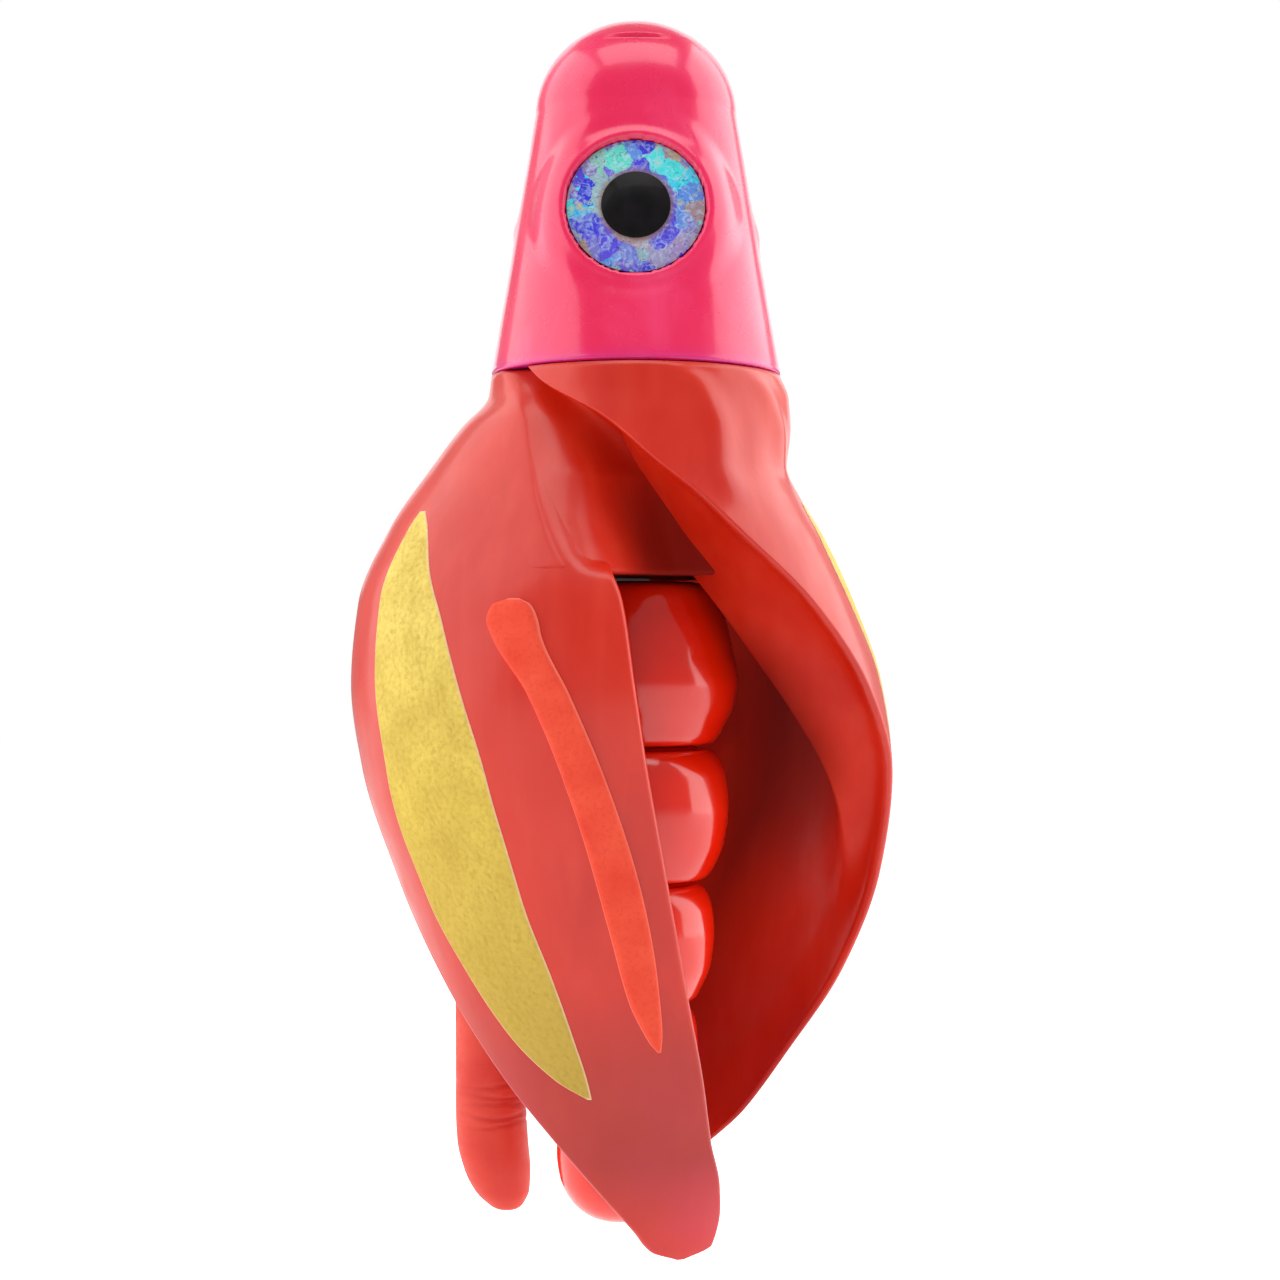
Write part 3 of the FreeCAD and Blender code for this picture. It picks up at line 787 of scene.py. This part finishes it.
def recess_skin(name, wing, other, other_turn):
    """The recess beside a wing's root: its outer face sinks away under the other wing's leading edge,
    painted in shade that deepens as it sinks.
    """
    z = np.linspace(RECESS_TOP, RECESS_LOW, RECESS_ROWS)[:, None]
    trail = smooth(wing, z, 4)
    hidden = smooth(other, z, 3) + other_turn
    start, end = trail - RECESS_BEFORE, hidden + RECESS_UNDER
    angle = start + (end - start) * np.linspace(0, 1, RECESS_ROWS)[None, :]
    face, out = ellipse(wing, z, angle)
    past = (angle - trail) * np.radians(1) * np.hypot(face[..., 0], face[..., 1])
    sunk = recess_sink(z, past, recess_gap(wing, z, trail, hidden))
    sunk = sunk - 0.05 + 0.22 * (1 - ease(past, -11.0, -TURN_IN))
    sunk = sunk + RECESS_ROUND * corner_drop((z - RECESS_LOW) / RECESS_ROUND)
    outer = face - out * sunk[..., None]
    far_face, far_out = ellipse(other, z, angle - other_turn)
    outer = outer + (far_face - far_out - outer) * ease(angle, hidden - 1, hidden + 10)[..., None]
    turn = np.radians(angle)
    back = np.stack([RECESS_CORE_R * np.sin(turn), -RECESS_CORE_R * np.cos(turn), z + 0 * turn], -1)
    # Painted shade: the mark deep grows as the face sinks, and is full on the back.
    deep = there_and_back(ease(sunk, 0.8, 7.5) * 0.9, np.ones_like(sunk))
    make_mesh(name, there_and_back(outer, back), sheet_faces(RECESS_ROWS, RECESS_ROWS),
              "body", "wing_red", (), {"deep": deep})


PAD_ROWS = 220
PAD_ACROSS = 36
PAD_SINK = 0.35         # how far a pad's back lies under the wing's face
PAD_CLEAR = 0.02        # how far its edge stands clear of the face
PAD_EDGE = 0.45         # width of its light edge


def pad(side, shape, table, rise, corner, colour, slot):
    """A foam pad let into a wing: a rounded-edged patch on its outer face."""
    wing = LEFT_WING if side == "left" else RIGHT_WING
    top, foot = table[0][0], table[-1][0]
    z = (top + (foot - top) * spread(PAD_ROWS))[:, None]
    low, high = smooth(table, z, 1), smooth(table, z, 2)
    face, out = ellipse(wing, z, low + (high - low) * spread(PAD_ACROSS)[None, :])
    run = along(face)
    to_side = np.minimum(run, run[:, -1:] - run)
    to_end = np.minimum(np.abs(z - top), np.abs(z - foot))
    gap = np.minimum(to_side, to_end * 0.8 + 0.02)
    lift = rise * (1 - corner_drop(gap / corner)) + PAD_CLEAR
    # edge marks the band where the pad materials paint a highlight along the raised rim.
    edge = 1 - np.clip(gap / PAD_EDGE, 0, 1)
    points = there_and_back(face + out * lift[..., None], face - out * PAD_SINK)
    make_mesh("%s_%s_pad" % (side, shape), points, sheet_faces(PAD_ROWS, PAD_ACROSS), "body", slot,
              ("%s_%s_%s" % (side, colour, shape),), {"edge": there_and_back(edge, np.ones_like(edge))})


# ---------------------------------------------------------------- core, tail, leg

CORE = [
    (0, -0.15), (11.0, -0.15), (11.2, -0.4), (10.8, -2.4), (10.0, -5.0), (9.4, -8.0), (9.3, -14),
    (9.3, -18), (9.1, -19.5), (8.6, -20.0), (6.8, -20.0), (6.3, -20.18), (3, -20.2), (0, -20.2),
]


def core_skin():
    """The neck core with a boss over the first bead."""
    points, faces = lathe(*outline_curve(CORE, 180), 160)
    make_mesh("core_skin", points, faces, "body", "core_red", ("neck_core",))


def tail_skins():
    """The five beads, each very slightly out of round."""
    for number, (x, outline) in enumerate(BEADS, 1):
        points, faces = lathe(*outline_curve(outline, 160), 160, x)
        turn = np.arctan2(points[:, 1], points[:, 0] - x)
        swell = 1 + 0.006 * np.sin(2 * turn + number - 1) + 0.004 * np.sin(3 * turn + 2 * number - 2)
        points[:, 0] = x + (points[:, 0] - x) * swell
        points[:, 1] *= swell
        name = "tail_bead_%d" % number
        make_mesh(name + "_skin", points, faces, "tail_%d" % number, "bead_orange", (name,))


# Creases of the leg: z, width, how far each is turned round it
CREASES = [
    (-72.2, 0.16, 0.3), (-73.3, 0.2, 0.0), (-74.2, 0.18, -0.2), (-75.3, 0.22, 0.1),
    (-76.3, 0.16, -0.4), (-52.0, 0.2, 0.2), (-53.2, 0.22, -0.1), (-54.1, 0.16, 0.2),
]
CREASE_DEPTH = 0.035    # as a share of the leg's half width


def leg_skin():
    """The leg, round in section, with fine creases, deepest towards its front right."""
    rows, around = 320, 120
    z = LEG[0][0] + (LEG[-1][0] - LEG[0][0]) * spread(rows)
    left, right = smooth(LEG, z, 1), smooth(LEG, z, 2)
    centre, half = (left + right) / 2, (right - left) / 2
    half[0] = half[-1] = 0
    turn = np.arange(around) * TAU / around
    pz = np.repeat(z[:, None], around, 1)
    crease = np.zeros_like(pz)
    for place, wide, turned in CREASES:
        wave = place + 0.25 * np.sin(2 * turn + 9 * turned)[None, :]
        side = np.clip(0.35 + 0.65 * np.cos(turn + 0.9 + turned), 0, 1)[None, :]
        crease += np.exp(-((pz - wave) / wide) ** 2) * side
    crease = np.clip(crease, 0, 1)
    scale = 1 - CREASE_DEPTH * crease
    px = centre[:, None] + np.outer(half, np.cos(turn)) * scale
    py = LEG_Y + np.outer(half, np.sin(turn)) * 0.98 * scale
    # The crease mark also paints shade into the creases, through the leg's material.
    make_mesh("leg_skin", np.stack([px, py, pz], -1), ring_faces(rows, around), "leg", "leg_red",
              ("leg",), {"crease": crease * 0.6})


# ---------------------------------------------------------------- camera, lights, world, floor

CAMERA_PLACE = (0.0004, -0.213, -0.0262)
LIGHT_TARGET = (0, 0, -0.03)
FLOOR_Z = -0.112
FLOOR_HALF = 1.6
# name, place, width and height in metres, watts
LIGHTS = [
    ("key_left", (-0.44, -0.04, 0.14), (0.80, 0.80), 3.2),
    ("soft_right", (0.42, 0.10, 0.10), (0.60, 0.80), 3.4),
    ("top", (0.02, -0.16, 0.45), (0.40, 0.30), 0.9),
    ("back", (0.0, 0.45, 0.20), (0.5, 0.4), 0.7),
]
AMBIENT = 0.34          # the world's strength, for all but the camera, which sees white


def add_camera():
    data = bpy.data.cameras.new("camera")
    data.lens, data.sensor_width = 60, 36
    data.clip_start, data.clip_end = 0.01, 20
    camera = bpy.data.objects.new("camera", data)
    camera.location = CAMERA_PLACE
    camera.rotation_euler = (math.pi / 2, 0, 0)
    bpy.context.scene.collection.objects.link(camera)
    bpy.context.scene.camera = camera


def add_light(name, place, size, power):
    data = bpy.data.lights.new(name, "AREA")
    data.shape = "RECTANGLE"
    data.size, data.size_y = size
    data.energy = power
    lamp = bpy.data.objects.new(name, data)
    lamp.location = place
    lamp.rotation_euler = (Vector(LIGHT_TARGET) - Vector(place)).to_track_quat("-Z", "Y").to_euler()
    bpy.context.scene.collection.objects.link(lamp)


def add_world():
    """A white backdrop to the camera, and a dimmer white light to everything else."""
    world = bpy.data.worlds.new("studio")
    world.use_nodes = True
    tree = world.node_tree
    mix = tree.nodes.new("ShaderNodeMixShader")
    ambient, backdrop = tree.nodes["Background"], tree.nodes.new("ShaderNodeBackground")
    for socket, background, strength in ((1, ambient, AMBIENT), (2, backdrop, 1.0)):
        background.inputs["Color"].default_value = (1, 1, 1, 1)
        background.inputs["Strength"].default_value = strength
        tree.links.new(background.outputs[0], mix.inputs[socket])
    path = tree.nodes.new("ShaderNodeLightPath")
    tree.links.new(path.outputs["Is Camera Ray"], mix.inputs[0])
    tree.links.new(mix.outputs[0], tree.nodes["World Output"].inputs["Surface"])
    bpy.context.scene.world = world


def add_floor():
    mesh = bpy.data.meshes.new("floor")
    corners = [(-FLOOR_HALF, -FLOOR_HALF, 0), (FLOOR_HALF, -FLOOR_HALF, 0),
               (FLOOR_HALF, FLOOR_HALF, 0), (-FLOOR_HALF, FLOOR_HALF, 0)]
    mesh.from_pydata(corners, [], [(0, 1, 2, 3)])
    mesh.materials.append(pale_floor())
    floor = bpy.data.objects.new("floor", mesh)
    floor.location.z = FLOOR_Z
    bpy.context.scene.collection.objects.link(floor)


# ---------------------------------------------------------------- build

add_camera()
for light in LIGHTS:
    add_light(*light)
add_world()
bpy.context.scene.view_settings.view_transform = "Standard"
add_floor()

head_skin()
for eye, eye_turn in EYES.items():
    eye_pieces(eye, eye_turn)
wing_skin("left", LEFT_WING, -180, RIGHT_WING, 0)
wing_skin("right", RIGHT_WING, 0, LEFT_WING, 360)
recess_skin("front_recess_skin", LEFT_WING, RIGHT_WING, 0)
recess_skin("rear_recess_skin", RIGHT_WING, LEFT_WING, 360)
pad("left", "inlay", LEFT_INLAY, 0.1, 0.25, "yellow", "yellow_foam")
pad("right", "inlay", RIGHT_INLAY, 0.1, 0.25, "yellow", "yellow_foam")
pad("left", "strip", LEFT_STRIP, 0.7, 0.6, "red", "red_strip")
pad("right", "strip", RIGHT_STRIP, 0.7, 0.6, "red", "red_strip")
core_skin()
tail_skins()
leg_skin()

CARRIED = {"head_plug": "pink_shell", "hip_bracket": "core_red", "neck_spindle": "steel",
           "spindle_washer": "steel", "spindle_screw": "steel", "leg_pin": "steel"}
CARRIED.update({"tail_pin_%d" % number: "steel" for number in range(1, 6)})
for carried_node, carried_slot in CARRIED.items():
    for material_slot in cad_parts[carried_node].material_slots:
        material_slot.material = MATERIALS[carried_slot]
